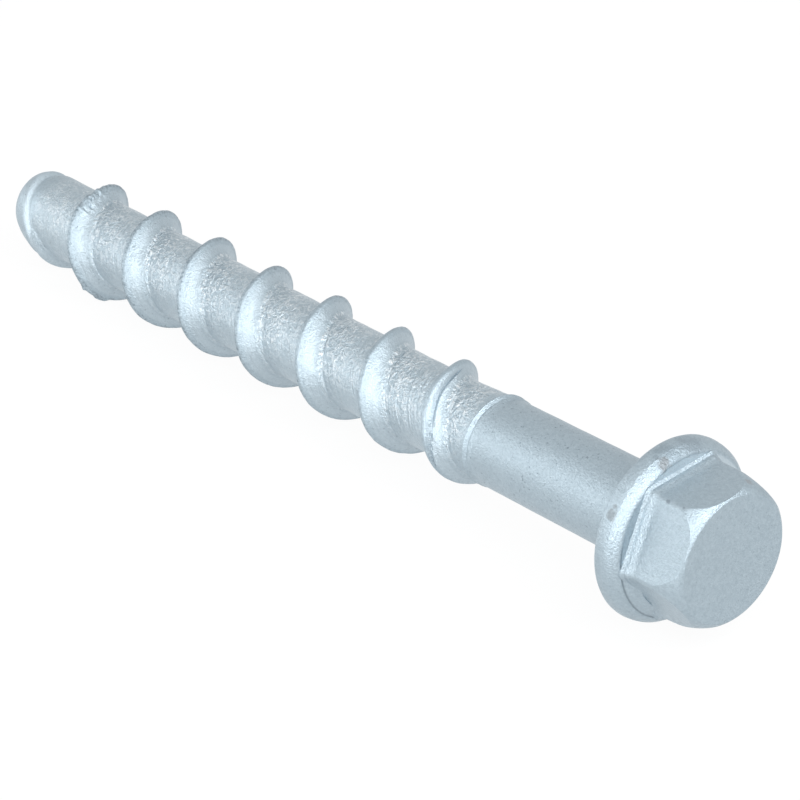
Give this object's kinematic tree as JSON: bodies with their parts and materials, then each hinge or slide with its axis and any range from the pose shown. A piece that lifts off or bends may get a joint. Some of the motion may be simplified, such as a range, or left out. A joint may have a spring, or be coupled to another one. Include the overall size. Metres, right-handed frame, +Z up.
{
  "type": "hex head screw",
  "caption": "Coarse-threaded steel masonry screw with a hexagonal head on a conical flange, a plain shank below it, and a blunt rounded point.",
  "frame": {"origin": "on the table that the screw lies on, below the middle of its length and width", "axes": "+X along the length, towards the head; +Z up from the table; the screw's own axis leans 2 degrees from X, because it rests on its flange and on the first turn of its thread"},
  "size_m": [0.1246, 0.02, 0.02],
  "materials": {
    "zinc_coated_steel": "matte, finely pitted zinc coating on forged and rolled carbon steel, brighter where the dies left it smooth"
  },
  "bodies": {
    "root": {"hex_flange_screw": "zinc_coated_steel"}
  },
  "joints": []
}
